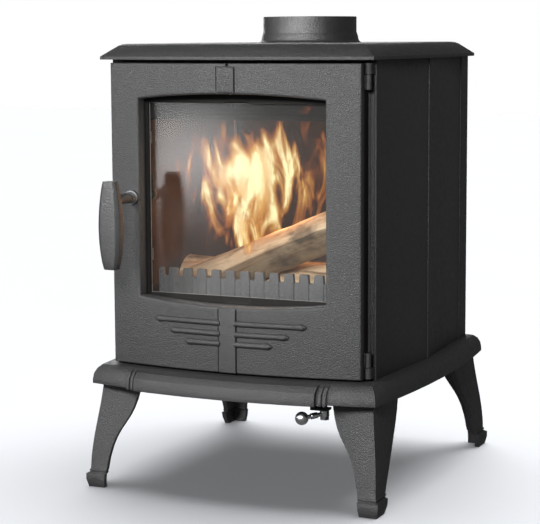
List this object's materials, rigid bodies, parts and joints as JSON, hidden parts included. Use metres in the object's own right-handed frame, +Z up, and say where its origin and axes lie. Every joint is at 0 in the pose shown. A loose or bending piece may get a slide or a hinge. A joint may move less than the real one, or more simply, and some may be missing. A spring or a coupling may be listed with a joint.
{
  "type": "wood burning stove",
  "caption": "Cast-iron wood burning stove: bowed glazed door on a side hinge, hipped top with round flue collar, flared base on splayed legs.",
  "frame": {"origin": "on the floor, at the middle of the whole stove's footprint box, feet and door handle included", "axes": "+X to the right as seen by someone facing the door, +Y to the back, +Z up"},
  "size_m": [0.5, 0.5836, 0.722],
  "materials": {
    "cast_iron_painted": "matt charcoal heat-resistant paint on sand-cast iron",
    "collar_iron": "satin charcoal paint on turned cast iron",
    "handle_iron": "satin charcoal paint",
    "cast_iron_inner": "bare black cast iron",
    "liner_iron": "sooty cast iron",
    "zinc_steel": "zinc plated",
    "ash_pan_steel": "dull sheet steel",
    "chrome": "polished",
    "fire_glass": "clear ceramic fire glass",
    "flat_gasket": "flat woven glass-fibre tape",
    "seal_rope": "glass-fibre rope"
  },
  "bodies": {
    "stove_body": {"base_plate": "cast_iron_painted", "leg_front_left": "cast_iron_painted", "leg_front_right": "cast_iron_painted", "leg_rear_left": "cast_iron_painted", "leg_rear_right": "cast_iron_painted", "leg_bolts": "zinc_steel", "side_panel_left": "cast_iron_painted", "side_panel_right": "cast_iron_painted", "back_panel": "cast_iron_painted", "front_frame": "cast_iron_inner", "top_plate": "cast_iron_painted", "tie_rods": "zinc_steel", "tie_rod_nuts": "zinc_steel", "flue_collar": "collar_iron", "flue_collar_bolts": "zinc_steel", "latch_keeper": "zinc_steel", "latch_keeper_screws": "zinc_steel", "air_bracket": "cast_iron_inner", "air_bracket_screw": "zinc_steel", "fire_bed": "cast_iron_inner", "fire_grate": "cast_iron_inner", "bed_supports": "cast_iron_inner", "log_fence": "cast_iron_inner", "liner_left": "liner_iron", "liner_right": "liner_iron", "liner_rear": "liner_iron", "baffle": "cast_iron_inner", "air_wash_plate": "cast_iron_inner", "ash_pan_rails": "cast_iron_inner", "ash_pan": "ash_pan_steel", "ash_pan_handle": "ash_pan_steel"},
    "door_leaf": {"door": "cast_iron_painted", "door_glass": "fire_glass", "glass_gasket": "flat_gasket", "glass_clips": "zinc_steel", "glass_clip_screws": "zinc_steel", "door_seal_rope": "seal_rope", "hinge_pin_upper": "zinc_steel", "hinge_pin_lower": "zinc_steel"},
    "handle": {"handle_shaft": "handle_iron", "handle_grip": "handle_iron", "handle_washer": "zinc_steel", "latch_cam": "cast_iron_inner", "latch_nut": "zinc_steel"},
    "air_control": {"air_spindle": "zinc_steel", "air_lever": "chrome", "air_knob": "chrome", "air_damper": "cast_iron_inner"}
  },
  "joints": [
    {"name": "door_hinge", "type": "hinge", "parent": "stove_body", "child": "door_leaf", "pos_m": [0.2095, -0.18675, 0.424], "axis": [0, 0, 1], "range_deg": [0, 110]},
    {"name": "handle_turn", "type": "hinge", "parent": "door_leaf", "child": "handle", "pos_m": [-0.163, -0.21975, 0.4512], "axis": [0, 1, 0], "range_deg": [0, 90]},
    {"name": "air_lever_swing", "type": "hinge", "parent": "stove_body", "child": "air_control", "pos_m": [0.145, -0.19775, 0.1415], "axis": [0, 0, 1], "range_deg": [0, 40]}
  ]
}
